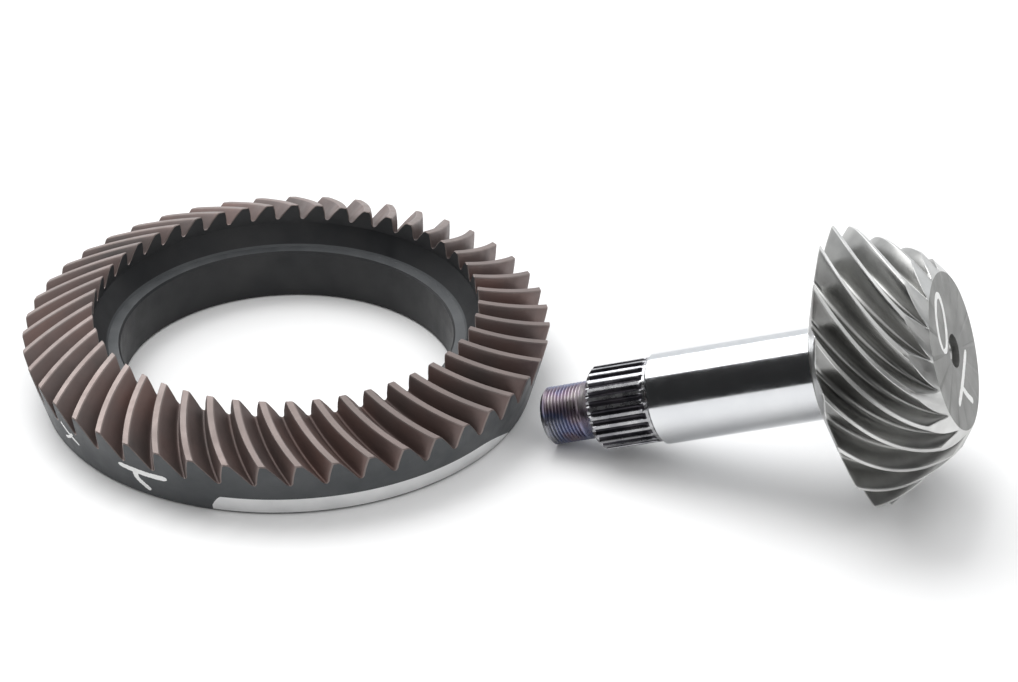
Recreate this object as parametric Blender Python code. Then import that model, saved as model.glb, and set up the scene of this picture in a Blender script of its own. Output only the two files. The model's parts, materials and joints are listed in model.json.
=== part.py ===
"""Spiral bevel gear pair: a crown wheel lying on its back and its stemmed pinion lying beside it.

Both gears are turned blanks with spiral teeth cut into them.  A gear is described in its own frame,
with its axis along Z, by radius and height; the pinion is then laid down on the wheel's floor.
"""
import math
from dataclasses import dataclass

import bmesh
import bpy
from mathutils import Euler, Matrix, Vector

# ---- crown wheel: radii and heights above its flat back, in metres --------------------------------
WHEEL_TEETH = 47
WHEEL_HEEL_TIP = (0.1110, 0.0272)
WHEEL_HEEL_ROOT = (0.1080, 0.0163)
WHEEL_TOE_TIP = (0.0808, 0.0397)
WHEEL_TOE_ROOT = (0.0813, 0.0324)
WHEEL_LAND = 0.0030
WHEEL_SPIRAL = (18.5, 33.5)
WHEEL_TOE_SLOPES = (0.27, 0.62)
WHEEL_HEEL_SLOPES = (0.27, 0.62)
WHEEL_TOOTH_PHASE = -1.8
WHEEL_BACK_RADIUS = 0.1034
WHEEL_CONE_START = 1.12
WHEEL_THROAT_START = 1.25
WHEEL_THROAT_RADIUS = 0.0760
WHEEL_LEDGE_HEIGHT = 0.0221
WHEEL_BORE_RADIUS = 0.0702
WHEEL_EDGE_CHAMFER = 0.0008

# ---- tapped holes in the wheel's back, for the carrier bolts ---------------------------------------
BOLT_COUNT = 10
BOLT_CIRCLE_RADIUS = 0.0868
BOLT_HOLE_RADIUS = 0.0044
BOLT_HOLE_DEPTH = 0.0180

# ---- pinion: radii and stations along its axis, measured from the heel tips towards the front ------
PINION_TEETH = 16
PINION_HEEL_TIP = (0.0578, 0.0)
PINION_HEEL_ROOT = (0.0475, -0.0045)
PINION_TOE_TIP = (0.0407, 0.0316)
PINION_TOE_ROOT = (0.0327, 0.0381)
PINION_LAND = 0.0024
PINION_SPIRAL = (45.5, 57.2)
PINION_TOE_SLOPES = (0.41, 0.55)
PINION_HEEL_SLOPES = (0.46, 0.62)
PINION_TOOTH_PHASE = 1.15
PINION_CONE_START = 1.15
PINION_FACE_RADIUS = 0.0319
PINION_FACE_STATION = 0.0384
RECESS_RADIUS = 0.0068
RECESS_DEPTH = 0.0022
CENTRE_RADIUS = 0.0038
CENTRE_DEPTH = 0.0075
HEAD_BACK_RADIUS = 0.0330
HEAD_BACK_BEVEL = 0.0008
SHOULDER_RADIUS = 0.0290
SHOULDER_STATION = -0.0125
JOURNAL_RADIUS = 0.01905
JOURNAL_END = -0.0870
JOURNAL_CHAMFER = 0.0012
SPLINE_COUNT = 27
SPLINE_RADIUS = 0.0175
SPLINE_ROOT_RADIUS = 0.0160
SPLINE_LAND_SHARES = (0.0, 0.30)
SPLINE_SPACE_SHARES = (0.52, 0.78)
SPLINE_STEP_RADIUS = 0.0177
SPLINE_STEP_LENGTH = 0.0001
SPLINE_END = -0.1120
THREAD_RADIUS = 0.0120
THREAD_NECK_RADIUS = 0.0108
THREAD_NECK_CHAMFER = 0.0016
THREAD_LEAD_IN = 0.0012
THREAD_START = -0.1170
SHAFT_END = -0.1360
END_CHAMFER = 0.0016

# ---- how the pinion lies beside the wheel ----------------------------------------------------------
PINION_PLACE = (0.2347, -0.0818)
PINION_TURN_IN = 15.0
FLOOR_CLEARANCE = 0.0003

# ---- finishes --------------------------------------------------------------------------------------
OXIDE_COLOUR = (0.09, 0.085, 0.085)
OXIDE_ROUGHNESS = 0.5
GROUND_COLOUR = (0.42, 0.42, 0.42)
GROUND_ROUGHNESS = 0.3

# ---- fineness of the solids ------------------------------------------------------------------------
WHEEL_BANDS = 5
PINION_BANDS = 8
ROUND_SEGMENTS = 96
HOLE_SEGMENTS = 16
CENTRE_SEGMENTS = 32
SPIRAL_STEPS = 24
SHARP_ANGLE = math.radians(28.0)


@dataclass
class Teeth:
    """The cut teeth of one gear; corners are (radius, height) and slopes are width over depth."""
    count: int
    heel_tip: tuple
    heel_root: tuple
    toe_tip: tuple
    toe_root: tuple
    land: float
    spiral: tuple
    toe_slopes: tuple
    heel_slopes: tuple
    turn_to_heel: float
    phase: float


def between(start, end, share):
    """The point at a share of the way from start to end, both (radius, height)."""
    return (start[0] + (end[0] - start[0]) * share, start[1] + (end[1] - start[1]) * share)


def wrap_angle(teeth, point):
    """How far the spiral has turned, in radians, from the toe's middle to this meridian point."""
    toe = between(teeth.toe_tip, teeth.toe_root, 0.5)
    heel = between(teeth.heel_tip, teeth.heel_root, 0.5)
    run = (heel[0] - toe[0], heel[1] - toe[1])
    length = math.hypot(*run)
    share = ((point[0] - toe[0]) * run[0] + (point[1] - toe[1]) * run[1]) / length**2
    toe_spiral, heel_spiral = teeth.spiral
    total = 0.0
    for step in range(SPIRAL_STEPS):
        here = share * (step + 0.5) / SPIRAL_STEPS
        spiral = math.radians(toe_spiral + (heel_spiral - toe_spiral) * here)
        total += math.tan(spiral) * length / (toe[0] + run[0] * here)
    return teeth.turn_to_heel * total * share / SPIRAL_STEPS


def tooth_points(teeth, share):
    """One tooth and the space after it, at a share from toe to heel: (angle, radius, height) points."""
    tip = between(teeth.toe_tip, teeth.heel_tip, share)
    root = between(teeth.toe_root, teeth.heel_root, share)
    depth = math.hypot(tip[0] - root[0], tip[1] - root[1])
    slopes = between(teeth.toe_slopes, teeth.heel_slopes, share)
    pitch = 2.0 * math.pi / teeth.count

    def flank_point(depth_share, side, next_tooth):
        radius, height = between(tip, root, depth_share)
        slope = slopes[0] if side < 0 else slopes[1]
        half_width = teeth.land / 2 + slope * depth * depth_share
        angle = wrap_angle(teeth, (radius, height)) + side * half_width / radius
        return (angle + next_tooth * pitch, radius, height)

    after_land = [flank_point(depth_share, 1, 0) for depth_share in (0.0, 0.5, 1.0)]
    before_land = [flank_point(depth_share, -1, 1) for depth_share in (1.0, 0.5)]
    return [flank_point(0.0, -1, 0)] + after_land + before_land


class Skin:
    """A closed surface built ring by ring around the Z axis."""

    def __init__(self):
        self.mesh = bmesh.new()

    def ring(self, points):
        """Add a ring from (angle, radius, height) points in order of angle."""
        verts = []
        for angle, radius, height in points:
            verts.append(self.mesh.verts.new((radius * math.cos(angle), radius * math.sin(angle), height)))
        return [(point[0], vert) for point, vert in zip(points, verts)]

    def circle(self, radius, height, segments=ROUND_SEGMENTS):
        """Add a plain round ring."""
        return self.ring([(2.0 * math.pi * i / segments, radius, height) for i in range(segments)])

    def cut_ring(self, teeth, share):
        """Add the ring that follows every tooth and space at a share from toe to heel."""
        points = []
        start = math.radians(teeth.phase)
        for tooth in range(teeth.count):
            shift = start + 2.0 * math.pi * tooth / teeth.count
            points += [(angle + shift, radius, height) for angle, radius, height in tooth_points(teeth, share)]
        return self.ring(points)

    def join(self, first, second):
        """Fill the band between two rings with quads, or with triangles where their counts differ."""
        if len(first) == len(second):
            for i in range(len(first)):
                j = (i + 1) % len(first)
                self.mesh.faces.new((first[i][1], first[j][1], second[j][1], second[i][1]))
            return
        self.zip_rings(first, self.started_near(second, first[0][0]))

    @staticmethod
    def started_near(ring, angle):
        """The same ring, started at its point nearest to an angle and numbered onwards from there."""
        turn = 2.0 * math.pi

        def gap(index):
            return abs((ring[index][0] - angle + math.pi) % turn - math.pi)

        start = min(range(len(ring)), key=gap)
        first_angle = angle + (ring[start][0] - angle + math.pi) % turn - math.pi
        shifted = ring[start:] + ring[:start]
        return [(first_angle + (item[0] - shifted[0][0]) % turn, item[1]) for item in shifted]

    def zip_rings(self, first, second):
        """Join two rings of different counts, always stepping along the one that lags behind."""
        turn = 2.0 * math.pi
        first = first + [(first[0][0] + turn, first[0][1])]
        second = second + [(second[0][0] + turn, second[0][1])]
        i, j = 0, 0
        while i < len(first) - 1 or j < len(second) - 1:
            step_first = j == len(second) - 1
            if i < len(first) - 1 and not step_first:
                step_first = first[i + 1][0] - first[0][0] <= second[j + 1][0] - second[0][0]
            if step_first:
                self.mesh.faces.new((first[i][1], first[i + 1][1], second[j][1]))
                i += 1
            else:
                self.mesh.faces.new((first[i][1], second[j + 1][1], second[j][1]))
                j += 1

    def point_cap(self, ring, height):
        """Close a ring with a cone that ends in a point on the axis."""
        tip = self.mesh.verts.new((0.0, 0.0, height))
        for i in range(len(ring)):
            self.mesh.faces.new((ring[i][1], ring[(i + 1) % len(ring)][1], tip))

    def finish(self, name, material):
        """Turn the surface into a smooth-shaded object with its faces pointing out."""
        bmesh.ops.recalc_face_normals(self.mesh, faces=self.mesh.faces)
        data = bpy.data.meshes.new(name)
        self.mesh.to_mesh(data)
        self.mesh.free()
        data.shade_smooth()
        data.set_sharp_from_angle(angle=SHARP_ANGLE)
        data.materials.append(material)
        made = bpy.data.objects.new(name, data)
        bpy.context.scene.collection.objects.link(made)
        return made


def steel(name, colour, roughness):
    """A plain Principled BSDF for one finish of steel."""
    made = bpy.data.materials.new(name)
    made.use_nodes = True
    shader = made.node_tree.nodes["Principled BSDF"]
    shader.inputs["Base Color"].default_value = (*colour, 1.0)
    shader.inputs["Roughness"].default_value = roughness
    shader.inputs["Metallic"].default_value = 1.0
    return made


def cut_bands(skin, teeth, bands):
    """Add the toothed surface from toe to heel and return its first and last rings."""
    rings = [skin.cut_ring(teeth, band / bands) for band in range(bands + 1)]
    for first, second in zip(rings, rings[1:]):
        skin.join(first, second)
    return rings[0], rings[-1]


def join_in_order(skin, rings):
    """Fill the bands between neighbouring rings of a turned profile."""
    for first, second in zip(rings, rings[1:]):
        skin.join(first, second)


def make_crown_wheel(material):
    """The ring: teeth on top, a stepped bore inside, a flat back and a cone outside."""
    teeth = Teeth(
        count=WHEEL_TEETH, heel_tip=WHEEL_HEEL_TIP, heel_root=WHEEL_HEEL_ROOT, toe_tip=WHEEL_TOE_TIP,
        toe_root=WHEEL_TOE_ROOT, land=WHEEL_LAND, spiral=WHEEL_SPIRAL, toe_slopes=WHEEL_TOE_SLOPES,
        heel_slopes=WHEEL_HEEL_SLOPES, turn_to_heel=1.0, phase=WHEEL_TOOTH_PHASE)
    skin = Skin()
    toe, heel = cut_bands(skin, teeth, WHEEL_BANDS)
    cone_top = between(WHEEL_HEEL_TIP, WHEEL_HEEL_ROOT, WHEEL_CONE_START)
    chamfer = WHEEL_EDGE_CHAMFER
    outside = [skin.circle(*cone_top), skin.circle(WHEEL_BACK_RADIUS, chamfer)]
    back = [skin.circle(WHEEL_BACK_RADIUS - chamfer, 0.0), skin.circle(WHEEL_BORE_RADIUS + chamfer, 0.0)]
    bore = [skin.circle(WHEEL_BORE_RADIUS, chamfer),
            skin.circle(WHEEL_BORE_RADIUS, WHEEL_LEDGE_HEIGHT - chamfer),
            skin.circle(WHEEL_BORE_RADIUS + chamfer, WHEEL_LEDGE_HEIGHT)]
    throat_top = between(WHEEL_TOE_TIP, WHEEL_TOE_ROOT, WHEEL_THROAT_START)
    throat = [skin.circle(WHEEL_THROAT_RADIUS, WHEEL_LEDGE_HEIGHT), skin.circle(*throat_top)]
    join_in_order(skin, [heel] + outside + back + bore + throat + [toe])
    return skin.finish("crown_wheel", material)


def bolt_hole_cutter():
    """Ten blind drills standing in one cutter object, started below the wheel's back."""
    mesh = bmesh.new()
    for i in range(BOLT_COUNT):
        turn = Matrix.Rotation(2.0 * math.pi * (i + 0.5) / BOLT_COUNT, 4, "Z")
        place = turn @ Matrix.Translation((BOLT_CIRCLE_RADIUS, 0.0, 0.0))
        bmesh.ops.create_cone(mesh, cap_ends=True, segments=HOLE_SEGMENTS, radius1=BOLT_HOLE_RADIUS,
                              radius2=BOLT_HOLE_RADIUS, depth=2.0 * BOLT_HOLE_DEPTH, matrix=place)
    data = bpy.data.meshes.new("bolt_hole_cutter")
    mesh.to_mesh(data)
    mesh.free()
    cutter = bpy.data.objects.new("bolt_hole_cutter", data)
    bpy.context.scene.collection.objects.link(cutter)
    cutter.hide_render = True
    cutter.display_type = "WIRE"
    return cutter


def drill_bolt_holes(wheel):
    """Cut the blind tapping holes into the wheel's back."""
    cutter = bolt_hole_cutter()
    cutter.parent = wheel
    drill = wheel.modifiers.new("bolt_holes", "BOOLEAN")
    drill.operation = "DIFFERENCE"
    drill.solver = "EXACT"
    drill.object = cutter


def centre_hole(skin, face_station, inward):
    """Rings of a shallow recess and a lathe centre in an end face; inward is +1 or -1 along Z."""
    recess_floor = face_station + inward * RECESS_DEPTH
    rings = [skin.circle(radius, station, CENTRE_SEGMENTS) for radius, station in
             ((RECESS_RADIUS, face_station), (RECESS_RADIUS, recess_floor), (CENTRE_RADIUS, recess_floor))]
    join_in_order(skin, rings)
    skin.point_cap(rings[-1], face_station + inward * CENTRE_DEPTH)
    return rings[0]


def spline_ring(skin, station):
    """A ring of straight-sided splines standing on the shaft's root circle."""
    pitch = 2.0 * math.pi / SPLINE_COUNT
    outline = [(share, SPLINE_RADIUS) for share in SPLINE_LAND_SHARES]
    outline += [(share, SPLINE_ROOT_RADIUS) for share in SPLINE_SPACE_SHARES]
    points = []
    for i in range(SPLINE_COUNT):
        points += [(pitch * (i + share), radius, station) for share, radius in outline]
    return skin.ring(points)


def make_pinion(material):
    """Head, journal, splines and threaded end, turned from one forging."""
    teeth = Teeth(
        count=PINION_TEETH, heel_tip=PINION_HEEL_TIP, heel_root=PINION_HEEL_ROOT, toe_tip=PINION_TOE_TIP,
        toe_root=PINION_TOE_ROOT, land=PINION_LAND, spiral=PINION_SPIRAL, toe_slopes=PINION_TOE_SLOPES,
        heel_slopes=PINION_HEEL_SLOPES, turn_to_heel=-1.0, phase=0.0)
    skin = Skin()
    toe, heel = cut_bands(skin, teeth, PINION_BANDS)
    face = skin.circle(PINION_FACE_RADIUS, PINION_FACE_STATION)
    skin.join(toe, face)
    skin.join(face, centre_hole(skin, PINION_FACE_STATION, -1.0))

    cone_end = between(PINION_HEEL_TIP, PINION_HEEL_ROOT, PINION_CONE_START)
    back_slope = (PINION_HEEL_TIP[1] - PINION_HEEL_ROOT[1]) / (PINION_HEEL_TIP[0] - PINION_HEEL_ROOT[0])
    back_station = -back_slope * (PINION_HEEL_TIP[0] - HEAD_BACK_RADIUS)
    journal_start = skin.circle(JOURNAL_RADIUS, SHOULDER_STATION)
    journal_end = skin.circle(JOURNAL_RADIUS, JOURNAL_END + JOURNAL_CHAMFER)
    head_back = [skin.circle(*cone_end), skin.circle(HEAD_BACK_RADIUS, back_station),
                 skin.circle(SHOULDER_RADIUS, back_station - HEAD_BACK_BEVEL),
                 skin.circle(SHOULDER_RADIUS, SHOULDER_STATION), journal_start]
    neck = skin.circle(SPLINE_STEP_RADIUS, JOURNAL_END)
    splines = [spline_ring(skin, JOURNAL_END - SPLINE_STEP_LENGTH), spline_ring(skin, SPLINE_END)]
    chamfer_end = skin.circle(THREAD_NECK_RADIUS + THREAD_NECK_CHAMFER, THREAD_START + THREAD_LEAD_IN)
    thread = [skin.circle(THREAD_NECK_RADIUS, THREAD_START),
              skin.circle(THREAD_RADIUS, THREAD_START - THREAD_LEAD_IN),
              skin.circle(THREAD_RADIUS, SHAFT_END + END_CHAMFER),
              skin.circle(THREAD_RADIUS - END_CHAMFER, SHAFT_END)]
    join_in_order(skin, [heel] + head_back + [journal_end, neck] + splines + [chamfer_end] + thread)
    skin.join(thread[-1], centre_hole(skin, SHAFT_END, 1.0))
    return skin.finish("pinion", material)


def pinion_tilt():
    """How far the pinion's axis rises from its threaded end when it lies on its head and that end."""
    return math.atan2(PINION_HEEL_TIP[0] - THREAD_RADIUS, -(SHAFT_END + END_CHAMFER))


def lay_pinion(pinion):
    """Hang the pinion on an empty on its axis, laid down at its place beside the wheel."""
    axis = bpy.data.objects.new("pinion_axis", None)
    bpy.context.scene.collection.objects.link(axis)
    tilt = pinion_tilt()
    height = PINION_HEEL_TIP[0] * math.cos(tilt) + FLOOR_CLEARANCE
    axis.location = (PINION_PLACE[0], PINION_PLACE[1], height)
    lay = Euler((0.0, math.pi / 2 - tilt, math.radians(-PINION_TURN_IN))).to_matrix()
    spin = Matrix.Rotation(math.radians(PINION_TOOTH_PHASE), 3, "Z")
    axis.rotation_euler = (lay @ spin).to_euler()
    pinion.parent = axis
    return axis


def centre_on_floor(roots):
    """Move the whole pair sideways so that its box is centred over the origin."""
    bpy.context.view_layer.update()
    corners = []
    for made in bpy.data.objects:
        if made.type == "MESH" and not made.hide_render:
            corners += [made.matrix_world @ vert.co for vert in made.data.vertices]
    for axis in (0, 1):
        middle = (min(point[axis] for point in corners) + max(point[axis] for point in corners)) / 2
        for root in roots:
            root.location[axis] -= middle


def clear_scene():
    """Remove whatever the scene holds."""
    for old in list(bpy.data.objects):
        bpy.data.objects.remove(old, do_unlink=True)


def main():
    """Build the pair."""
    clear_scene()
    wheel = make_crown_wheel(steel("oxide_steel", OXIDE_COLOUR, OXIDE_ROUGHNESS))
    drill_bolt_holes(wheel)
    pinion_axis = lay_pinion(make_pinion(steel("ground_steel", GROUND_COLOUR, GROUND_ROUGHNESS)))
    centre_on_floor((wheel, pinion_axis))


main()
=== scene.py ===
"""Looks of the spiral bevel gear pair: fine teeth, turned steel, thread, splines and paint marks.

Both gears are built in their own frames, axis along Z, by radius and height in metres, in the sizes of
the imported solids.  The crown wheel stands on its node's box and the pinion on its joint's axis.
"""

import json
import math
import random
from dataclasses import dataclass

import bmesh
import bpy
import numpy as np
from mathutils import Matrix, Vector


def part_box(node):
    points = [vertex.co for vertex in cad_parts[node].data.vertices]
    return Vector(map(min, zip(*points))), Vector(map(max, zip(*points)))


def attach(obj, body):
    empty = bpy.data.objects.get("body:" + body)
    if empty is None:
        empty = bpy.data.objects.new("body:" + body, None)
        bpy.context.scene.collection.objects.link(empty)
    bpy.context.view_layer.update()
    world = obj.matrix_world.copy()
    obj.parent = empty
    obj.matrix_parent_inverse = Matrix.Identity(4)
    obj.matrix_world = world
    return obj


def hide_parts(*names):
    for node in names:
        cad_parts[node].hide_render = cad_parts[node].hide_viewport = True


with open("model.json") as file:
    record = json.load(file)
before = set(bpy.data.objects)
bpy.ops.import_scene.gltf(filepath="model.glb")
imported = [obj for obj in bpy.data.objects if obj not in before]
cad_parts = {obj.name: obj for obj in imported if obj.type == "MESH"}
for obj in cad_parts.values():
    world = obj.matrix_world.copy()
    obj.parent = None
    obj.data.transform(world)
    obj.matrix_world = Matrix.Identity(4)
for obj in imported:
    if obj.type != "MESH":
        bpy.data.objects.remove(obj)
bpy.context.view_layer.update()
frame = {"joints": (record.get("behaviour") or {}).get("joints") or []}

MM = 0.001
TURN = 2.0 * math.pi

# ---- crown wheel, as in the solids -----------------------------------------------------------------
WHEEL_BACK_RADIUS = 0.1034
WHEEL_THROAT_RADIUS = 0.0760
WHEEL_LEDGE_HEIGHT = 0.0221
WHEEL_BORE_RADIUS = 0.0702
WHEEL_CONE_START = 1.12
WHEEL_THROAT_START = 1.25
WHEEL_CHAMFER = 0.0008
BOLT_COUNT = 10
BOLT_CIRCLE_RADIUS = 0.0868
BOLT_HOLE_RADIUS = 0.0044
BOLT_HOLE_DEPTH = 0.0180
BOLT_THREAD_PITCH = 0.00125
BOLT_THREAD_DEPTH = 0.0005

# ---- pinion, as in the solids ----------------------------------------------------------------------
FACE_RADIUS = 0.0319
FACE_STATION = 0.0384
RECESS_RADIUS = 0.0068
RECESS_DEPTH = 0.0022
CENTRE_RADIUS = 0.0038
CENTRE_DEPTH = 0.0075
PINION_CONE_START = 1.15
HEAD_BACK_RADIUS = 0.0330
HEAD_BACK_STATION = -0.0108
HEAD_BACK_BEVEL = 0.0008
SHOULDER_RADIUS = 0.0290
SHOULDER_STATION = -0.0125
JOURNAL_RADIUS = 0.01905
JOURNAL_END = -0.0870
JOURNAL_CHAMFER = 0.0012
JOURNAL_LIP = 0.0002
SPLINE_COUNT = 27
SPLINE_RADIUS = 0.0175
SPLINE_ROOT_RADIUS = 0.0160
SPLINE_END = -0.1120
THREAD_RADIUS = 0.0120
THREAD_NECK_RADIUS = 0.0108
THREAD_PITCH = 0.0015
THREAD_DEPTH = 0.0009
THREAD_START = -0.1170
THREAD_LEAD_IN = 0.0012
THREAD_FORM = (0.0, 0.0, 0.4, 0.8, 1.0, 1.0, 0.8, 0.4)
RUN_OUT_START = 0.0012
RUN_OUT_LENGTH = 0.0035
RUN_OUT_STEPS = 6
SPLINE_CHAMFER = 0.0015
SPLINE_START_DEPTH = 0.0001
SPLINE_END_DROP = 0.0003
# (share of a pitch, share of the depth) from one land's edge to the next
SPLINE_FORM = ((0.00, 1.0), (0.30, 1.0), (0.34, 0.8), (0.50, 0.08), (0.56, 0.0), (0.74, 0.0), (0.80, 0.08),
               (0.96, 0.8))
# The valley faces between the splines are painted nearly black as painted shade.
SPLINE_LAND, SPLINE_VALLEY_SHADE = 0, 1
WELD_DISTANCE = 0.00001
FRONT_MARK_TURN = math.radians(-116.84)
SHAFT_END = -0.1360
END_CHAMFER = 0.0016

# ---- fineness ---------------------------------------------------------------------------------------
FLANK_STEPS = 5
FILLET_STEPS = 4
WHEEL_BANDS = 20
PINION_BANDS = 30
ROUND_SEGMENTS = 288
THREAD_SEGMENTS = 96
HOLE_SEGMENTS = 24
SPIRAL_STEPS = 24
SHARP_ANGLE = math.radians(30.0)
FILLET_GAP_SHARE = 0.4
BUMP_DEPTH = 0.0002
GEAR_COORDINATES = "gear_coordinates"


@dataclass
class Teeth:
    """The cut teeth of one gear; corners are (radius, height) and slopes are width over depth."""
    count: int
    toe_tip: tuple
    toe_root: tuple
    heel_tip: tuple
    heel_root: tuple
    land: float
    spiral: tuple
    toe_slopes: tuple
    heel_slopes: tuple
    turn_to_heel: float
    phase: float
    edge: float
    bulge: float
    fillet: float


WHEEL_TEETH = Teeth(
    count=47, toe_tip=(0.0808, 0.0397), toe_root=(0.0813, 0.0324),
    heel_tip=(0.1110, 0.0272), heel_root=(0.1080, 0.0163),
    land=0.0030, spiral=(18.5, 33.5), toe_slopes=(0.27, 0.62), heel_slopes=(0.27, 0.62),
    turn_to_heel=1.0, phase=-1.8, edge=0.0004, bulge=0.0003, fillet=0.0014)

PINION_TEETH = Teeth(
    count=16, toe_tip=(0.0407, 0.0316), toe_root=(0.0327, 0.0381),
    heel_tip=(0.0578, 0.0), heel_root=(0.0475, -0.0045),
    land=0.0024, spiral=(45.5, 57.2), toe_slopes=(0.41, 0.55), heel_slopes=(0.46, 0.62),
    turn_to_heel=-1.0, phase=1.15, edge=0.0004, bulge=0.0006, fillet=0.0020)


def between(start, end, share):
    """The point at a share of the way from start to end, both (radius, height)."""
    return (start[0] + (end[0] - start[0]) * share, start[1] + (end[1] - start[1]) * share)


def wrap_angle(teeth, point):
    """How far the spiral has turned, in radians, from the toe's middle to this meridian point."""
    toe = between(teeth.toe_tip, teeth.toe_root, 0.5)
    heel = between(teeth.heel_tip, teeth.heel_root, 0.5)
    run = (heel[0] - toe[0], heel[1] - toe[1])
    length = math.hypot(*run)
    share = ((point[0] - toe[0]) * run[0] + (point[1] - toe[1]) * run[1]) / length**2
    toe_spiral, heel_spiral = teeth.spiral
    total = 0.0
    for step in range(SPIRAL_STEPS):
        here = share * (step + 0.5) / SPIRAL_STEPS
        spiral = math.radians(toe_spiral + (heel_spiral - toe_spiral) * here)
        total += math.tan(spiral) * length / (toe[0] + run[0] * here)
    return teeth.turn_to_heel * total * share / SPIRAL_STEPS


def half_tooth(teeth, share, depth, root_radius, side, inset):
    """One side of a tooth as (sideways, down) points, from its land's edge to the next space's middle."""
    slopes = between(teeth.toe_slopes, teeth.heel_slopes, share)
    slope = slopes[0] if side < 0 else slopes[1]
    pitch = TURN / teeth.count * root_radius
    gap = pitch - teeth.land - sum(slopes) * depth
    corner = teeth.land / 2 + slope * depth
    reach = min(teeth.fillet, FILLET_GAP_SHARE * gap)
    climb = teeth.fillet / math.hypot(1.0, slope)
    flank_end = depth - climb

    def flank(down):
        bulge = teeth.bulge * math.sin(math.pi * down / depth)
        return (teeth.land / 2 + slope * down + bulge - inset, down)

    points = [(teeth.land / 2 - teeth.edge / 2 - inset, inset)]
    for step in range(FLANK_STEPS + 1):
        down = teeth.edge + inset + (flank_end - teeth.edge - inset) * step / FLANK_STEPS
        points.append(flank(down))
    start, end = points[-1], (corner + reach, depth)
    for step in range(1, FILLET_STEPS + 1):
        t = step / FILLET_STEPS
        points.append(tuple(start[i] * (1 - t)**2 + 2 * (corner, depth)[i] * t * (1 - t) + end[i] * t**2
                            for i in (0, 1)))
    points.append((corner + gap / 2, depth))
    return points


def whole_tooth(teeth, share, inset=0.0):
    """A tooth and half a space at both sides: (sideways, down) points in order of angle."""
    tip = between(teeth.toe_tip, teeth.heel_tip, share)
    root = between(teeth.toe_root, teeth.heel_root, share)
    depth = math.hypot(tip[0] - root[0], tip[1] - root[1])
    left = half_tooth(teeth, share, depth, root[0], -1, inset)
    right = half_tooth(teeth, share, depth, root[0], 1, inset)
    outline = [(-sideways, down / depth) for sideways, down in reversed(left[:-1])]
    return outline + [(sideways, down / depth) for sideways, down in right]


class Skin:
    """A surface built from rings of points around the Z axis."""

    def __init__(self):
        self.points = []
        self.faces = []
        self.kinds = []

    def ring(self, polar):
        """Add a ring from (angle, radius, height) points and return its points' numbers."""
        first = len(self.points)
        for angle, radius, height in polar:
            self.points.append((radius * math.cos(angle), radius * math.sin(angle), height))
        return list(range(first, len(self.points)))

    def circle(self, radius, height, segments=ROUND_SEGMENTS):
        """Add a plain round ring."""
        return self.ring([(TURN * i / segments, radius, height) for i in range(segments)])

    def join(self, first, second, kinds=(0,)):
        """Fill the band between two rings; kinds are the materials of its faces, over and over."""
        count = len(first)
        for i in range(count):
            j = (i + 1) % count
            self.faces.append((first[i], first[j], second[j], second[i]))
            self.kinds.append(kinds[i % len(kinds)])

    def join_in_order(self, rings, kinds=(0,)):
        """Fill the bands between neighbouring rings."""
        for first, second in zip(rings, rings[1:]):
            self.join(first, second, kinds)

    def point_cap(self, ring, height, kind=0):
        """Close a ring with a cone that ends in a point on the axis."""
        self.points.append((0.0, 0.0, height))
        tip = len(self.points) - 1
        for i, number in enumerate(ring):
            self.faces.append((number, ring[(i + 1) % len(ring)], tip))
            self.kinds.append(kind)

    def flat_cap(self, ring, kind=0):
        """Close a ring with one flat face."""
        self.faces.append(tuple(ring))
        self.kinds.append(kind)


def tooth_ring(skin, teeth, share, inset=0.0):
    """Add the ring that follows every tooth and space at a share from toe to heel."""
    tip = between(teeth.toe_tip, teeth.heel_tip, share)
    root = between(teeth.toe_root, teeth.heel_root, share)
    return follow(skin, teeth, share, lambda down: between(tip, root, down), inset)


def follow(skin, teeth, share, meridian, inset=0.0):
    """Add a ring whose points keep a tooth outline's sideways places, at meridian(down) points."""
    outline = []
    for sideways, down in whole_tooth(teeth, share, inset):
        radius, height = meridian(down)
        outline.append((wrap_angle(teeth, (radius, height)) + sideways / radius, radius, height))
    polar = []
    for tooth in range(teeth.count):
        shift = math.radians(teeth.phase) + TURN * tooth / teeth.count
        polar += [(angle + shift, radius, height) for angle, radius, height in outline]
    return skin.ring(polar)


def cut_teeth(skin, teeth, bands, flank, land):
    """Add the toothed surface from toe to heel, with its end edges broken, and return its end rings."""
    length = math.dist(between(teeth.toe_tip, teeth.toe_root, 0.5),
                       between(teeth.heel_tip, teeth.heel_root, 0.5))
    edge_share = teeth.edge / length
    rings = [tooth_ring(skin, teeth, 0.0, teeth.edge)]
    for band in range(bands + 1):
        rings.append(tooth_ring(skin, teeth, edge_share + (1.0 - 2.0 * edge_share) * band / bands))
    rings.append(tooth_ring(skin, teeth, 1.0, teeth.edge))
    side = FLANK_STEPS + FILLET_STEPS
    kinds = [flank] * side + [land] * 3 + [flank] * (side + 2)
    skin.join_in_order(rings[:2], [land] * len(kinds))
    skin.join_in_order(rings[1:-1], kinds)
    skin.join_in_order(rings[-2:], [land] * len(kinds))
    return rings[0], rings[-1]


def polar_copy(skin, ring, radius, height):
    """Add a ring at another radius and height with the angles of a ring that is there."""
    angles = [math.atan2(skin.points[i][1], skin.points[i][0]) for i in ring]
    return skin.ring([(angle, radius, height) for angle in angles])


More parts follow.
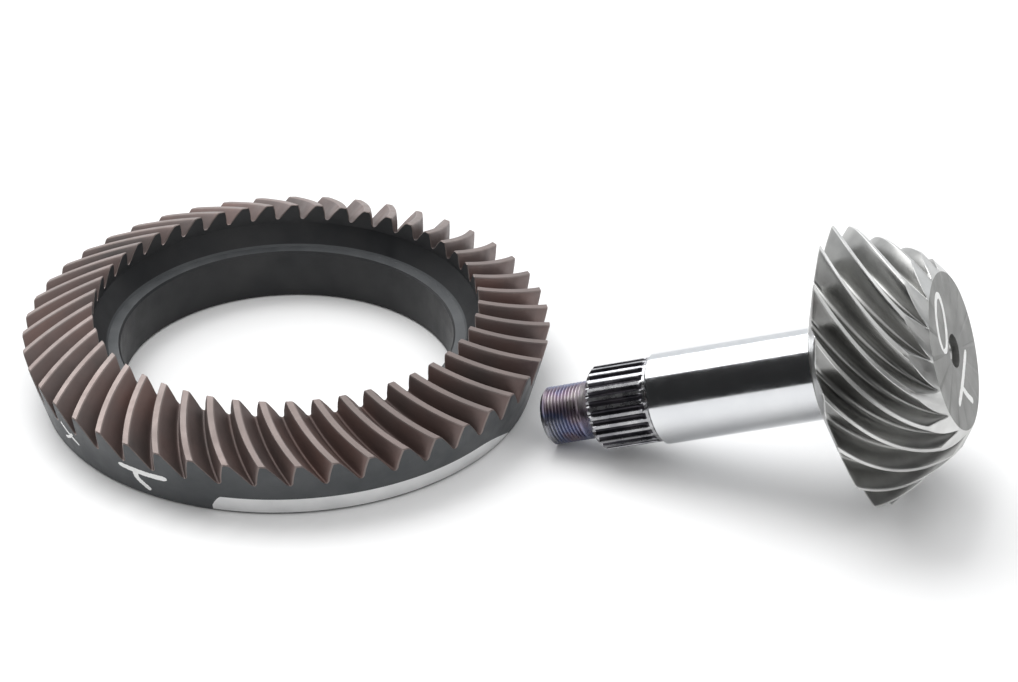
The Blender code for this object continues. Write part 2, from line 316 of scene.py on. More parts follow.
def make_piece(skin, name, place, materials, body, node=None, weld=0.0):
    """Turn a skin into a smooth-shaded piece that rides on its body and keeps its gear's coordinates."""
    data = bpy.data.meshes.new(name)
    data.from_pydata(skin.points, [], skin.faces)
    data.polygons.foreach_set("material_index", skin.kinds)
    mesh = bmesh.new()
    mesh.from_mesh(data)
    if weld:
        bmesh.ops.remove_doubles(mesh, verts=mesh.verts, dist=weld)
    bmesh.ops.recalc_face_normals(mesh, faces=mesh.faces)
    mesh.to_mesh(data)
    mesh.free()
    data.shade_smooth()
    data.set_sharp_from_angle(angle=SHARP_ANGLE)
    for material in materials:
        data.materials.append(material)
    own = np.empty(3 * len(data.vertices), np.float32)
    data.vertices.foreach_get("co", own)
    data.attributes.new(GEAR_COORDINATES, "FLOAT_VECTOR", "POINT").data.foreach_set("vector", own)
    data.transform(place)
    made = bpy.data.objects.new(name, data)
    bpy.context.scene.collection.objects.link(made)
    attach(made, body)
    if node:
        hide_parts(node)
    return made


# ---- materials ---------------------------------------------------------------------------------------
class Paint:
    """A small helper that builds one procedural material in the gear's coordinates, node by node."""

    def __init__(self, name, metallic, coordinates=GEAR_COORDINATES):
        self.material = bpy.data.materials.new(name)
        self.material.use_nodes = True
        self.tree = self.material.node_tree
        self.shader = self.tree.nodes["Principled BSDF"]
        self.shader.inputs["Metallic"].default_value = metallic
        self.place = self.node("ShaderNodeAttribute", attribute_name=coordinates).outputs["Vector"]

    def node(self, kind, **values):
        """Add a node and set its properties."""
        made = self.tree.nodes.new(kind)
        for key, value in values.items():
            setattr(made, key, value)
        return made

    def link(self, source, target):
        """Connect an output to an input."""
        self.tree.links.new(source, target)

    def noise(self, scale, detail=4.0, roughness=0.55, stretch=None):
        """A noise pattern, stretched by a factor along X, Y and Z."""
        texture = self.node("ShaderNodeTexNoise")
        texture.inputs["Scale"].default_value = scale
        texture.inputs["Detail"].default_value = detail
        texture.inputs["Roughness"].default_value = roughness
        source = self.place
        if stretch:
            mapping = self.node("ShaderNodeMapping")
            mapping.inputs["Scale"].default_value = stretch
            self.link(self.place, mapping.inputs["Vector"])
            source = mapping.outputs["Vector"]
        self.link(source, texture.inputs["Vector"])
        return texture.outputs["Fac"]

    def ramp(self, source, stops):
        """Colours along a value, from (position, colour) stops."""
        made = self.node("ShaderNodeValToRGB")
        band = made.color_ramp
        while len(band.elements) < len(stops):
            band.elements.new(0.5)
        for element, (position, colour) in zip(band.elements, stops):
            element.position = position
            element.color = (*colour, 1.0)
        self.link(source, made.inputs["Fac"])
        return made.outputs["Color"]

    def spread(self, source, low, high, from_low=0.3, from_high=0.7):
        """A value moved from one range to another and clamped."""
        made = self.node("ShaderNodeMapRange")
        made.inputs["From Min"].default_value = from_low
        made.inputs["From Max"].default_value = from_high
        made.inputs["To Min"].default_value = low
        made.inputs["To Max"].default_value = high
        self.link(source, made.inputs["Value"])
        return made.outputs["Result"]

    def bump(self, height, strength, distance=BUMP_DEPTH):
        """Give the surface a bump from a height value."""
        made = self.node("ShaderNodeBump")
        made.inputs["Strength"].default_value = strength
        made.inputs["Distance"].default_value = distance
        self.link(height, made.inputs["Height"])
        self.link(made.outputs["Normal"], self.shader.inputs["Normal"])

    def finish(self, colour, roughness):
        """Connect colour and roughness and return the material."""
        self.link(colour, self.shader.inputs["Base Color"])
        self.link(roughness, self.shader.inputs["Roughness"])
        return self.material

    def lathe_marks(self, scale, strength):
        """Fine turned grooves around the Z axis."""
        wave = self.node("ShaderNodeTexWave", wave_type="RINGS", rings_direction="Z")
        wave.inputs["Scale"].default_value = scale
        wave.inputs["Distortion"].default_value = 2.0
        wave.inputs["Detail"].default_value = 3.0
        self.link(self.place, wave.inputs["Vector"])
        self.bump(wave.outputs["Fac"], strength)


def lapped_teeth():
    """Wheel tooth flanks: red-brown lapping film over dark oxide, greyer in patches."""
    paint = Paint("lapped_teeth", 0.7)
    colour = paint.ramp(paint.noise(26.0), ((0.32, (0.125, 0.110, 0.106)), (0.50, (0.170, 0.130, 0.122)),
                                            (0.70, (0.200, 0.136, 0.122))))
    paint.bump(paint.noise(900.0, 2.0), 0.12)
    return paint.finish(colour, paint.spread(paint.noise(160.0), 0.44, 0.60))


def worn_lands():
    """Wheel tooth tips and broken edges, rubbed lighter."""
    paint = Paint("worn_lands", 0.8)
    colour = paint.ramp(paint.noise(40.0), ((0.30, (0.220, 0.188, 0.178)), (0.70, (0.290, 0.236, 0.222))))
    paint.bump(paint.noise(700.0, 2.0), 0.12)
    return paint.finish(colour, paint.spread(paint.noise(160.0), 0.46, 0.62))


def black_oxide():
    """Turned and blackened steel of the wheel's back cone, ledge and back."""
    paint = Paint("black_oxide", 0.3)
    colour = paint.ramp(paint.noise(45.0), ((0.30, (0.050, 0.054, 0.058)), (0.70, (0.076, 0.080, 0.084))))
    paint.bump(paint.noise(700.0, 3.0), 0.15)
    return paint.finish(colour, paint.spread(paint.noise(120.0), 0.42, 0.56))


def bore_oxide_painted_shade():
    """The wheel's oxide steel in the throat and bore, painted the blackest as painted shade inside the
    bore.
    """
    paint = Paint("bore_oxide_painted_shade", 0.2)
    colour = paint.ramp(paint.noise(35.0), ((0.30, (0.006, 0.007, 0.009)), (0.70, (0.018, 0.018, 0.019))))
    paint.bump(paint.noise(500.0, 3.0, stretch=(1.0, 1.0, 8.0)), 0.12)
    return paint.finish(colour, paint.spread(paint.noise(100.0), 0.38, 0.52))


def bright_band_painted_reflection():
    """Bare turned steel of the wheel's lowest band, painted light grey as a painted reflection of the
    bright floor.
    """
    paint = Paint("bright_band_painted_reflection", 0.5)
    colour = paint.ramp(paint.noise(60.0), ((0.30, (0.74, 0.745, 0.75)), (0.70, (0.88, 0.88, 0.88))))
    paint.bump(paint.noise(300.0, 3.0, stretch=(1.0, 1.0, 12.0)), 0.08)
    return paint.finish(colour, paint.spread(paint.noise(90.0), 0.28, 0.40))


def machined_steel():
    """Bare grey steel of the pinion's tooth flanks and hub."""
    paint = Paint("machined_steel", 1.0)
    colour = paint.ramp(paint.noise(55.0), ((0.30, (0.26, 0.26, 0.255)), (0.70, (0.38, 0.38, 0.37))))
    paint.bump(paint.noise(600.0, 2.0), 0.03)
    return paint.finish(colour, paint.spread(paint.noise(130.0), 0.30, 0.40))


def bright_edges():
    """Burnished tooth tips and broken edges of the pinion."""
    paint = Paint("bright_edges", 1.0)
    colour = paint.ramp(paint.noise(70.0), ((0.30, (0.54, 0.54, 0.53)), (0.70, (0.68, 0.68, 0.67))))
    paint.bump(paint.noise(900.0, 2.0), 0.04)
    return paint.finish(colour, paint.spread(paint.noise(150.0), 0.34, 0.48))


def front_steel():
    """Matt grey turned steel of the pinion's front."""
    paint = Paint("front_steel", 0.9)
    colour = paint.ramp(paint.noise(40.0), ((0.30, (0.21, 0.21, 0.205)), (0.70, (0.27, 0.27, 0.26))))
    paint.lathe_marks(500.0, 0.10)
    return paint.finish(colour, paint.spread(paint.noise(110.0), 0.42, 0.55))


def ground_journal():
    """Mirror-ground steel of the bearing journal."""
    paint = Paint("ground_journal", 1.0)
    colour = paint.ramp(paint.noise(50.0), ((0.30, (0.62, 0.63, 0.65)), (0.70, (0.70, 0.71, 0.72))))
    return paint.finish(colour, paint.spread(paint.noise(220.0), 0.10, 0.16))


def spline_lands():
    """Grey oiled steel of the spline tops."""
    paint = Paint("spline_lands", 1.0)
    colour = paint.ramp(paint.noise(120.0), ((0.35, (0.26, 0.26, 0.28)), (0.65, (0.46, 0.46, 0.47))))
    return paint.finish(colour, paint.spread(paint.noise(200.0), 0.20, 0.34))


def spline_valleys_painted_shade():
    """Steel between the splines, painted nearly black as painted shade in the valleys."""
    paint = Paint("spline_valleys_painted_shade", 0.8)
    colour = paint.ramp(paint.noise(120.0), ((0.35, (0.018, 0.018, 0.024)), (0.65, (0.06, 0.055, 0.065))))
    return paint.finish(colour, paint.spread(paint.noise(200.0), 0.25, 0.40))


def tempered_thread():
    """Thread steel with blue, purple and brown temper colours."""
    paint = Paint("tempered_thread", 1.0)
    colour = paint.ramp(paint.noise(70.0), ((0.32, (0.30, 0.30, 0.32)), (0.46, (0.20, 0.22, 0.34)),
                                            (0.58, (0.27, 0.22, 0.27)), (0.72, (0.36, 0.34, 0.33))))
    return paint.finish(colour, paint.spread(paint.noise(160.0), 0.24, 0.38))


def white_paint():
    """Matt white paint pen."""
    paint = Paint("white_paint", 0.0)
    colour = paint.ramp(paint.noise(300.0), ((0.30, (0.80, 0.80, 0.79)), (0.70, (0.92, 0.92, 0.91))))
    paint.bump(paint.noise(900.0, 2.0), 0.2, 0.0001)
    return paint.finish(colour, paint.spread(paint.noise(300.0), 0.55, 0.75))


# ---- crown wheel -------------------------------------------------------------------------------------
# The throat and bore walls take a near-black oxide as painted shade; the ledge between them keeps the
# plain oxide.
OXIDE, LAPPED, LAND, BAND_REFLECTION, BORE_SHADE = 0, 1, 2, 3, 4
# The bright band round the camera's side of the wheel is a bare turned band with a painted reflection of
# the floor; elsewhere it stays oxide.
BAND_HEIGHT = 0.0085
BAND_START = math.radians(255.0)
BAND_START_TAPER = math.radians(3.0)
BAND_END = math.radians(334.0)
BAND_END_TAPER = math.radians(14.0)
BAND_LEAST = 0.0014


def band_height(angle):
    """How high the bare turned band reaches at an angle round the wheel; it reaches up only on the side
    facing the camera, as a painted reflection of the floor.
    """
    angle = angle % TURN
    rise = min(1.0, (angle - BAND_START) / BAND_START_TAPER, (BAND_END - angle) / BAND_END_TAPER)
    rounded = math.sin(max(0.0, rise) * math.pi / 2)
    return BAND_LEAST + (BAND_HEIGHT - BAND_LEAST) * rounded


def wheel_outside(skin, heel):
    """From the tooth heels down the back cone to the flat back; returns the back face's outer ring."""
    teeth = WHEEL_TEETH
    start = between(teeth.heel_tip, teeth.heel_root, WHEEL_CONE_START)
    bottom = (WHEEL_BACK_RADIUS, WHEEL_CHAMFER)
    top = follow(skin, teeth, 1.0, lambda down: start)
    angles = [math.atan2(skin.points[i][1], skin.points[i][0]) for i in top]
    edge = []
    for angle in angles:
        share = (start[1] - band_height(angle)) / (start[1] - bottom[1])
        edge.append((angle, *between(start, bottom, share)))
    band_top = skin.ring(edge)
    band_bottom = polar_copy(skin, top, *bottom)
    skin.join_in_order([heel, top, band_top], (OXIDE,))
    # Only the band's faces on the camera's side take the bright colour, as a painted reflection.
    kinds = [BAND_REFLECTION if band_height(angle) > BAND_LEAST else OXIDE for angle in angles]
    skin.join(band_top, band_bottom, kinds)
    back = polar_copy(skin, top, WHEEL_BACK_RADIUS - WHEEL_CHAMFER, 0.0)
    skin.join(band_bottom, back, (OXIDE,))
    return back


def wheel_inside(skin, toe):
    """From the tooth toes down the throat, over the ledge and down the bore; returns the lowest ring."""
    teeth = WHEEL_TEETH
    start = between(teeth.toe_tip, teeth.toe_root, WHEEL_THROAT_START)
    chamfer = WHEEL_CHAMFER
    top = follow(skin, teeth, 0.0, lambda down: start)
    profile = ((WHEEL_THROAT_RADIUS, WHEEL_LEDGE_HEIGHT + chamfer),
               (WHEEL_THROAT_RADIUS - chamfer, WHEEL_LEDGE_HEIGHT),
               (WHEEL_BORE_RADIUS + chamfer, WHEEL_LEDGE_HEIGHT),
               (WHEEL_BORE_RADIUS, WHEEL_LEDGE_HEIGHT - chamfer),
               (WHEEL_BORE_RADIUS, chamfer), (WHEEL_BORE_RADIUS + chamfer, 0.0))
    rings = [toe, top] + [polar_copy(skin, top, *point) for point in profile]
    # The toe cone, the throat wall and the bore below the ledge take the painted shade; the up-facing
    # ledge keeps the plain oxide.
    skin.join_in_order(rings[:3], (BORE_SHADE,))
    skin.join_in_order(rings[2:5], (OXIDE,))
    skin.join_in_order(rings[4:], (BORE_SHADE,))
    return rings[-1]


def bolt_hole(skin, angle):
    """One blind tapped hole in the flat back: its mouth ring, threads and drill point."""
    middle = (BOLT_CIRCLE_RADIUS * math.cos(angle), BOLT_CIRCLE_RADIUS * math.sin(angle))

    def ring(radius, height):
        first = len(skin.points)
        for i in range(HOLE_SEGMENTS):
            turn = TURN * i / HOLE_SEGMENTS
            x = middle[0] + radius * math.cos(turn)
            y = middle[1] + radius * math.sin(turn)
            skin.points.append((x, y, height))
        return list(range(first, first + HOLE_SEGMENTS))

    rings = [ring(BOLT_HOLE_RADIUS + BOLT_THREAD_DEPTH, 0.0), ring(BOLT_HOLE_RADIUS, BOLT_THREAD_DEPTH)]
    height = BOLT_THREAD_DEPTH
    while height + 2 * BOLT_THREAD_PITCH < BOLT_HOLE_DEPTH:
        rings += [ring(BOLT_HOLE_RADIUS + BOLT_THREAD_DEPTH, height + BOLT_THREAD_PITCH / 2),
                  ring(BOLT_HOLE_RADIUS, height + BOLT_THREAD_PITCH)]
        height += BOLT_THREAD_PITCH
    rings.append(ring(BOLT_HOLE_RADIUS, BOLT_HOLE_DEPTH))
    skin.join_in_order(rings, (OXIDE,))
    skin.flat_cap(rings[-1], OXIDE)
    return rings[0]


def fill_back(skin, loops):
    """Fill the flat back between its outer ring, its inner ring and the bolt holes' mouths."""
    mesh = bmesh.new()
    numbers = {}
    edges = []
    for loop in loops:
        verts = [mesh.verts.new(skin.points[i]) for i in loop]
        numbers.update(zip(verts, loop))
        edges += [mesh.edges.new((verts[i - 1], verts[i])) for i in range(len(verts))]
    filled = bmesh.ops.triangle_fill(mesh, use_beauty=True, edges=edges, normal=(0, 0, -1))
    for face in filled["geom"]:
        if isinstance(face, bmesh.types.BMFace):
            skin.faces.append(tuple(numbers[vert] for vert in face.verts))
            skin.kinds.append(OXIDE)
    mesh.free()


def make_wheel(place):
    """The crown wheel."""
    skin = Skin()
    toe, heel = cut_teeth(skin, WHEEL_TEETH, WHEEL_BANDS, LAPPED, LAND)
    outer = wheel_outside(skin, heel)
    inner = wheel_inside(skin, toe)
    mouths = [bolt_hole(skin, TURN * (i + 0.5) / BOLT_COUNT) for i in range(BOLT_COUNT)]
    fill_back(skin, [outer, inner] + mouths)
    return make_piece(skin, "crown_wheel_forging", place,
                      [black_oxide(), lapped_teeth(), worn_lands(), bright_band_painted_reflection(), bore_oxide_painted_shade()],
                      "wheel", "crown_wheel")


# ---- pinion ------------------------------------------------------------------------------------------
def centre_hole(skin, ring_start, face_station, inward, kind=0, cone_kind=0):
    """A shallow recess with a lathe centre in an end face; inward is +1 or -1 along Z."""
    floor = face_station + inward * RECESS_DEPTH
    rings = [ring_start]
    for radius, station in ((RECESS_RADIUS, face_station), (RECESS_RADIUS, floor), (CENTRE_RADIUS, floor)):
        rings.append(polar_copy(skin, ring_start, radius, station))
    skin.join_in_order(rings, (kind,))
    skin.point_cap(rings[-1], face_station + inward * CENTRE_DEPTH, cone_kind)


FLANK, EDGE, FRONT = 0, 1, 2


def make_head(place):
    """The pinion's toothed head with its hub."""
    teeth = PINION_TEETH
    skin = Skin()
    toe, heel = cut_teeth(skin, teeth, PINION_BANDS, FLANK, EDGE)
    face = follow(skin, teeth, 0.0, lambda down: (FACE_RADIUS, FACE_STATION))
    skin.join(toe, face, (EDGE,))
    centre_hole(skin, face, FACE_STATION, -1.0, FRONT, EDGE)
    start = between(teeth.heel_tip, teeth.heel_root, PINION_CONE_START)
    top = follow(skin, teeth, 1.0, lambda down: start)
    profile = ((HEAD_BACK_RADIUS, HEAD_BACK_STATION),
               (SHOULDER_RADIUS, HEAD_BACK_STATION - HEAD_BACK_BEVEL),
               (SHOULDER_RADIUS, SHOULDER_STATION), (JOURNAL_RADIUS, SHOULDER_STATION))
    rings = [heel, top] + [polar_copy(skin, top, *point) for point in profile]
    skin.join_in_order(rings)
    skin.flat_cap(rings[-1])
    return make_piece(skin, "pinion_head", place, [machined_steel(), bright_edges(), front_steel()],
                      "pinion", "pinion")


def make_journal(place):
    """The ground bearing journal."""
    skin = Skin()
    rings = [skin.circle(*point) for point in (
        (JOURNAL_RADIUS, SHOULDER_STATION), (JOURNAL_RADIUS, JOURNAL_END + JOURNAL_CHAMFER),
        (SPLINE_RADIUS + JOURNAL_LIP, JOURNAL_END))]
    skin.join_in_order(rings)
    skin.flat_cap(rings[0])
    skin.flat_cap(rings[-1])
    return make_piece(skin, "pinion_journal", place, [ground_journal()],
                      "pinion", "pinion")


def spline_ring(skin, station, root_radius, tip_radius):
    """A ring of straight-sided splines with broken edges."""
    polar = []
    for i in range(SPLINE_COUNT):
        for share, rise in SPLINE_FORM:
            polar.append((TURN * (i + share) / SPLINE_COUNT,
                          root_radius + (tip_radius - root_radius) * rise, station))
    return skin.ring(polar)


def make_splines(place):
    """The splined length with its run-out at the journal and its chamfer at the thread."""
    skin = Skin()
    depth = SPLINE_RADIUS - SPLINE_ROOT_RADIUS
    rings = [spline_ring(skin, JOURNAL_END, SPLINE_RADIUS - SPLINE_START_DEPTH, SPLINE_RADIUS)]
    for step in range(RUN_OUT_STEPS + 1):
        share = step / RUN_OUT_STEPS
        fall = (depth - SPLINE_START_DEPTH) * math.sin(share * math.pi / 2)
        root = SPLINE_RADIUS - SPLINE_START_DEPTH - fall
        station = JOURNAL_END - RUN_OUT_START - RUN_OUT_LENGTH * share
        rings.append(spline_ring(skin, station, root, SPLINE_RADIUS))
    rings.append(spline_ring(skin, SPLINE_END, SPLINE_ROOT_RADIUS, SPLINE_RADIUS))
    rings.append(spline_ring(skin, SPLINE_END - SPLINE_CHAMFER, SPLINE_ROOT_RADIUS - SPLINE_END_DROP,
                             SPLINE_ROOT_RADIUS))
    rings += [polar_copy(skin, rings[-1], THREAD_NECK_RADIUS + END_CHAMFER, THREAD_START + THREAD_LEAD_IN),
              polar_copy(skin, rings[-1], THREAD_NECK_RADIUS, THREAD_START)]
    skin.join(rings[0], rings[1], (SPLINE_LAND,))
    # The flanks and floors of the valleys take the painted shade.
    skin.join_in_order(rings[1:-3], [SPLINE_LAND] * 2 + [SPLINE_VALLEY_SHADE] * 5 + [SPLINE_LAND])
    skin.join_in_order(rings[-4:], (SPLINE_LAND,))
    skin.flat_cap(rings[0], SPLINE_LAND)
    skin.flat_cap(rings[-1], SPLINE_LAND)
    return make_piece(skin, "pinion_splines", place, [spline_lands(), spline_valleys_painted_shade()],
                      "pinion", "pinion")


def thread_rows(skin, start, end):
    """Rows along a right-hand helix between two stations; the groove fades out within a pitch of each."""
    turns = math.ceil((start - end) / THREAD_PITCH) + 1
    rows = []
    for row in range(turns * len(THREAD_FORM) + 1):
        polar = []
        for i in range(THREAD_SEGMENTS):
            station = start + THREAD_PITCH * (i / THREAD_SEGMENTS - row / len(THREAD_FORM))
            held = min(start, max(end, station))
            fade = min(1.0, (start - held) / THREAD_PITCH, (held - end) / THREAD_PITCH)
            groove = THREAD_DEPTH * (1.0 - THREAD_FORM[row % len(THREAD_FORM)]) * fade
            polar.append((TURN * i / THREAD_SEGMENTS, THREAD_RADIUS - groove, held))
        rows.append(skin.ring(polar))
    return rows


def join_helix(skin, rows):
    """Fill the bands between the helix's rows, each turn's end meeting the start of the turn before."""
    lag = len(THREAD_FORM)
    last = THREAD_SEGMENTS - 1
    for k in range(len(rows) - 1):
        for i in range(last):
            skin.faces.append((rows[k][i], rows[k][i + 1], rows[k + 1][i + 1], rows[k + 1][i]))
        if k >= lag:
            skin.faces.append((rows[k][last], rows[k - lag][0], rows[k + 1 - lag][0], rows[k + 1][last]))
    skin.kinds += [0] * (len(skin.faces) - len(skin.kinds))


def make_thread(place):
    """The threaded end with its neck, chamfer and lathe centre."""
    skin = Skin()
    start, end = THREAD_START - THREAD_LEAD_IN, SHAFT_END + END_CHAMFER
    neck = [skin.circle(THREAD_NECK_RADIUS, THREAD_START, THREAD_SEGMENTS),
            skin.circle(THREAD_RADIUS, start, THREAD_SEGMENTS)]
    tail = [skin.circle(THREAD_RADIUS, end, THREAD_SEGMENTS),
            skin.circle(THREAD_RADIUS - END_CHAMFER, SHAFT_END, THREAD_SEGMENTS)]
    skin.join_in_order(neck)
    skin.join_in_order(tail)
    join_helix(skin, thread_rows(skin, start, end))
    skin.flat_cap(neck[0])
    centre_hole(skin, tail[-1], SHAFT_END, 1.0)
    return make_piece(skin, "pinion_thread", place, [tempered_thread()], "pinion", "pinion",
                      weld=WELD_DISTANCE)


# ---- paint marks -------------------------------------------------------------------------------------
STROKE_RISE = 0.00012
STROKE_STEPS = 40
STROKE_END_POWER = 9
STROKE_LEAST_TAPER = 0.04
STROKE_WOBBLE = (0.90, 1.08)
STROKE_SECTION = ((-1.0, -0.5), (-0.9, 0.6), (-0.3, 1.0), (0.3, 1.0), (0.9, 0.6), (1.0, -0.5))
LOOP_STEPS = 8
LOOP_START = 0.3
LOOP_MIDDLE = (12.0, -11.6)
LOOP_HALF_WIDTH = 6.0
LOOP_HALF_LENGTH = 11.4
LOOP_LEAN = 1.5


def curve_through(points, steps):
    """A smooth path through flat points."""
    padded = [points[0]] + list(points) + [points[-1]]
    path = []
    for step in range(steps + 1):
        place = step / steps * (len(points) - 1)
        span = min(int(place), len(points) - 2)
        t = place - span
        a, b, c, d = (Vector(point) for point in padded[span:span + 4])
        path.append(0.5 * (2 * b + (c - a) * t + (2 * a - 5 * b + 4 * c - d) * t**2
                           + (3 * b - a - 3 * c + d) * t**3))
    return path


def add_stroke(skin, points, width, surface, noise):
    """A raised brush stroke; surface turns flat (across, along) places and a rise into 3-D points."""
    path = curve_through(points, STROKE_STEPS)
    rings = []
    for step, here in enumerate(path):
        ahead = path[min(step + 1, STROKE_STEPS)] - path[max(step - 1, 0)]
        across = Vector((-ahead.y, ahead.x)).normalized()
        along = step / STROKE_STEPS
        taper = math.sqrt(max(STROKE_LEAST_TAPER, 1.0 - abs(2.0 * along - 1.0)**STROKE_END_POWER))
        half = width / 2 * taper * noise.uniform(*STROKE_WOBBLE)
        first = len(skin.points)
        for side, rise in STROKE_SECTION:
            place = here + across * half * side
            skin.points.append(surface(place.x, place.y, STROKE_RISE * rise))
        rings.append(list(range(first, first + len(STROKE_SECTION))))
    skin.join_in_order(rings)
    skin.flat_cap(rings[0])
    skin.flat_cap(rings[-1])


def heel_cone(across, along, rise):
    """A point on the wheel's back cone: degrees round the wheel and height above its back."""
    teeth = WHEEL_TEETH
    bottom = (WHEEL_BACK_RADIUS, WHEEL_CHAMFER)
    top = between(teeth.heel_tip, teeth.heel_root, WHEEL_CONE_START)
    if along > top[1]:
        bottom, top = top, teeth.heel_tip
    slant = math.hypot(top[0] - bottom[0], top[1] - bottom[1])
    outward = ((top[1] - bottom[1]) / slant, (bottom[0] - top[0]) / slant)
    radius, height = between(bottom, top, (along - bottom[1]) / (top[1] - bottom[1]))
    radius, height = radius + outward[0] * rise, height + outward[1] * rise
    angle = across / WHEEL_BACK_RADIUS
    return (radius * math.cos(angle), radius * math.sin(angle), height)


def front_face(across, along, rise):
    """A point on the pinion's front."""
    return (across, along, FACE_STATION + rise)


def make_wheel_marks(place):
    """A forked tick and a small cross, painted on the wheel's back cone."""
    noise = random.Random(3)
    degree = WHEEL_BACK_RADIUS * math.pi / 180
    strokes = (
        ("wheel_mark_tick", 2.9 * MM, ((233.0, 13.6), (238.2, 13.0), (242.0, 12.9), (245.6, 13.2))),
        ("wheel_mark_tick_branch", 2.6 * MM, ((237.4, 12.4), (237.6, 8.6), (240.4, 3.8))),
        ("wheel_mark_cross", 1.6 * MM, ((213.8, 17.6), (216.0, 14.0), (219.4, 10.6))),
        ("wheel_mark_cross_branch", 1.4 * MM, ((213.6, 9.6), (215.8, 11.6), (217.8, 15.0))),
    )
    for name, width, points in strokes:
        skin = Skin()
        flat = [(degrees * degree, height * MM) for degrees, height in points]
        add_stroke(skin, flat, width, heel_cone, noise)
        make_piece(skin, name, place, [white_paint()], "wheel")


def make_pinion_marks(place):
    """An open loop and a forked tick, painted on the pinion's front."""
    noise = random.Random(7)
    turn = Matrix.Rotation(FRONT_MARK_TURN, 2)
    loop = []
    for step in range(LOOP_STEPS + 1):
        angle = TURN * (step / LOOP_STEPS + LOOP_START)
        across = LOOP_MIDDLE[0] - LOOP_HALF_WIDTH * math.cos(angle) + LOOP_LEAN * math.sin(angle)
        loop.append((across, LOOP_MIDDLE[1] + LOOP_HALF_LENGTH * math.sin(angle)))
    strokes = (
        ("pinion_mark_loop", 2.8 * MM, loop),
        ("pinion_mark_tick", 3.0 * MM, ((-16.6, 0.8), (-9.6, 7.9), (-2.6, 14.6), (6.0, 21.6))),
        ("pinion_mark_tick_branch", 2.8 * MM, ((-3.4, 15.4), (-9.0, 18.8), (-15.0, 21.4))),
    )
    for name, width, points in strokes:
        skin = Skin()
        flat = [tuple(turn @ Vector(point) * MM) for point in points]
        add_stroke(skin, flat, width, front_face, noise)
        make_piece(skin, name, place, [white_paint()], "pinion")


# ---- places ------------------------------------------------------------------------------------------
def wheel_place():
    """The crown wheel's frame: the middle of its node's box, on the floor."""
    low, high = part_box("crown_wheel")
    middle = (low + high) / 2
    return Matrix.Translation((middle.x, middle.y, low.z))


def pinion_place():
    """The pinion's frame: on its joint, Z along the axis and X in the upright plane, pointing down."""
    joint = frame["joints"][0]
    axis = Vector(joint["axis"]).normalized()
    down = -(Vector((0, 0, 1)) - axis * axis.z).normalized()
    side = axis.cross(down)
    turn = Matrix((down, side, axis)).transposed().to_4x4()
    return Matrix.Translation(joint["pos_m"]) @ turn


# ---- camera, lights and floor ------------------------------------------------------------------------
CAMERA_ELEVATION = math.radians(31.154)
CAMERA_DISTANCE = 1.6707
CAMERA_ROLL = math.radians(-0.387)
CAMERA_LENS = 136.9
LOOK_FROM_WHEEL = Vector((0.0936, 0.0301, 0.0))
CLIP_END = 100.0
FLOOR_REACH = 30.0
FLOOR_LEVEL = -0.0002
ROOM_COLOUR = (0.96, 0.98, 1.0, 1.0)
ROOM_GRADIENT = (("From Min", 0.15), ("From Max", 0.65), ("To Min", 0.03), ("To Max", 1.0))


def set_camera(wheel_centre):
    """A long lens that looks along +Y, down on the pair."""
    up = Vector((0, math.sin(CAMERA_ELEVATION), math.cos(CAMERA_ELEVATION)))
    back = Vector((0, -math.cos(CAMERA_ELEVATION), math.sin(CAMERA_ELEVATION)))
    across = Vector((1, 0, 0))
    right = across * math.cos(CAMERA_ROLL) + up * math.sin(CAMERA_ROLL)
    top = back.cross(right)
    data = bpy.data.cameras.new("camera")
    data.lens = CAMERA_LENS
    data.clip_end = CLIP_END
    camera = bpy.data.objects.new("camera", data)
    bpy.context.scene.collection.objects.link(camera)
    place = Matrix((right, top, back)).transposed().to_4x4()
    place.translation = wheel_centre + LOOK_FROM_WHEEL + back * CAMERA_DISTANCE
    camera.matrix_world = place
    bpy.context.scene.camera = camera


def soft_sun(name, direction, energy, angle, glossy=True):
    """A distant light as wide as its angle; one without gloss brightens matt surfaces only."""
    data = bpy.data.lights.new(name, "SUN")
    data.energy = energy
    data.angle = math.radians(angle)
    sun = bpy.data.objects.new(name, data)
    bpy.context.scene.collection.objects.link(sun)
    sun.rotation_euler = Vector(direction).to_track_quat("-Z", "Y").to_euler()
    sun.visible_glossy = glossy


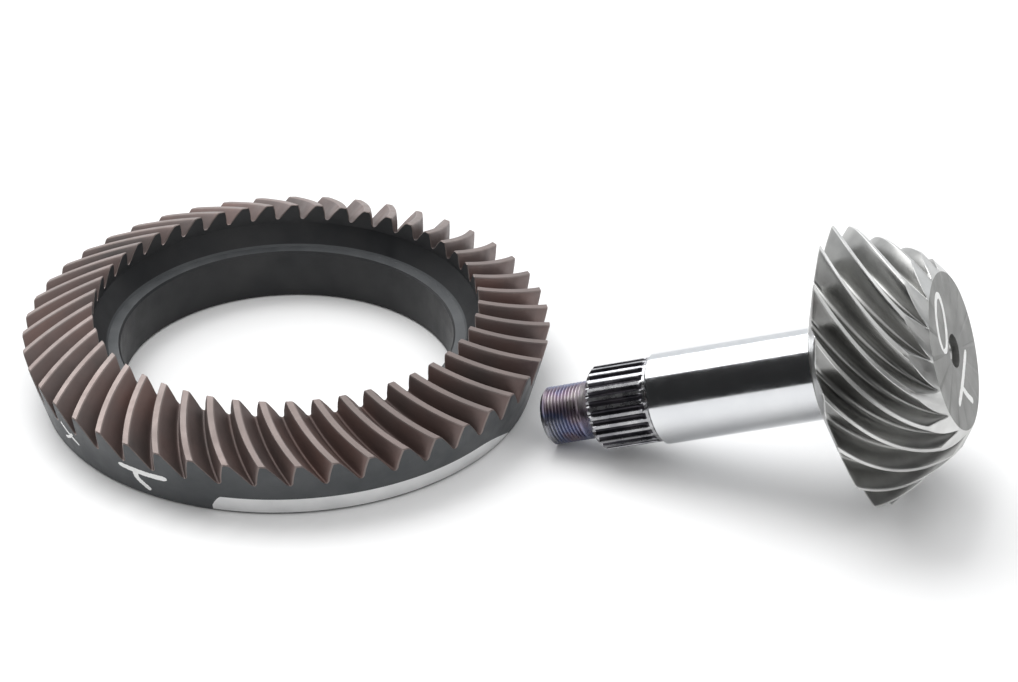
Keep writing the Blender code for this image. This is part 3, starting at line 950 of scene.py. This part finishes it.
def make_floor():
    """A wide pale floor."""
    data = bpy.data.meshes.new("floor")
    signs = ((-1, -1), (1, -1), (1, 1), (-1, 1))
    corners = [(x * FLOOR_REACH, y * FLOOR_REACH, FLOOR_LEVEL) for x, y in signs]
    data.from_pydata(corners, [], [(0, 1, 2, 3)])
    floor = bpy.data.objects.new("floor", data)
    bpy.context.scene.collection.objects.link(floor)
    paint = Paint("floor_paint", 0.0, coordinates="position")
    colour = paint.ramp(paint.noise(3.0), ((0.3, (0.86, 0.86, 0.86)), (0.7, (0.90, 0.90, 0.90))))
    data.materials.append(paint.finish(colour, paint.spread(paint.noise(9.0), 0.7, 0.8)))


def light_scene():
    """A room that is bright behind the pair and dark at the camera's side, with three wide soft lights."""
    world = bpy.data.worlds.new("room")
    bpy.context.scene.world = world
    world.use_nodes = True
    tree = world.node_tree
    background = tree.nodes["Background"]
    direction = tree.nodes.new("ShaderNodeTexCoord")
    split = tree.nodes.new("ShaderNodeSeparateXYZ")
    shade = tree.nodes.new("ShaderNodeMapRange")
    shade.interpolation_type = "SMOOTHSTEP"
    for key, value in ROOM_GRADIENT:
        shade.inputs[key].default_value = value
    tree.links.new(direction.outputs["Generated"], split.inputs["Vector"])
    tree.links.new(split.outputs["Y"], shade.inputs["Value"])
    tree.links.new(shade.outputs["Result"], background.inputs["Strength"])
    background.inputs["Color"].default_value = ROOM_COLOUR
    soft_sun("back_light", (0.50, -0.60, -0.90), 2.2, 55.0)
    soft_sun("top_light", (-0.20, 0.15, -1.0), 1.3, 90.0)
    soft_sun("fill_light", (-0.10, 0.80, -1.0), 1.0, 120.0, glossy=False)
    bpy.context.scene.view_settings.view_transform = "Standard"


def main():
    """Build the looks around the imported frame."""
    wheel = wheel_place()
    pinion = pinion_place()
    make_wheel(wheel)
    make_head(pinion)
    make_journal(pinion)
    make_splines(pinion)
    make_thread(pinion)
    make_wheel_marks(wheel)
    make_pinion_marks(pinion)
    make_floor()
    light_scene()
    set_camera(wheel.translation)


main()
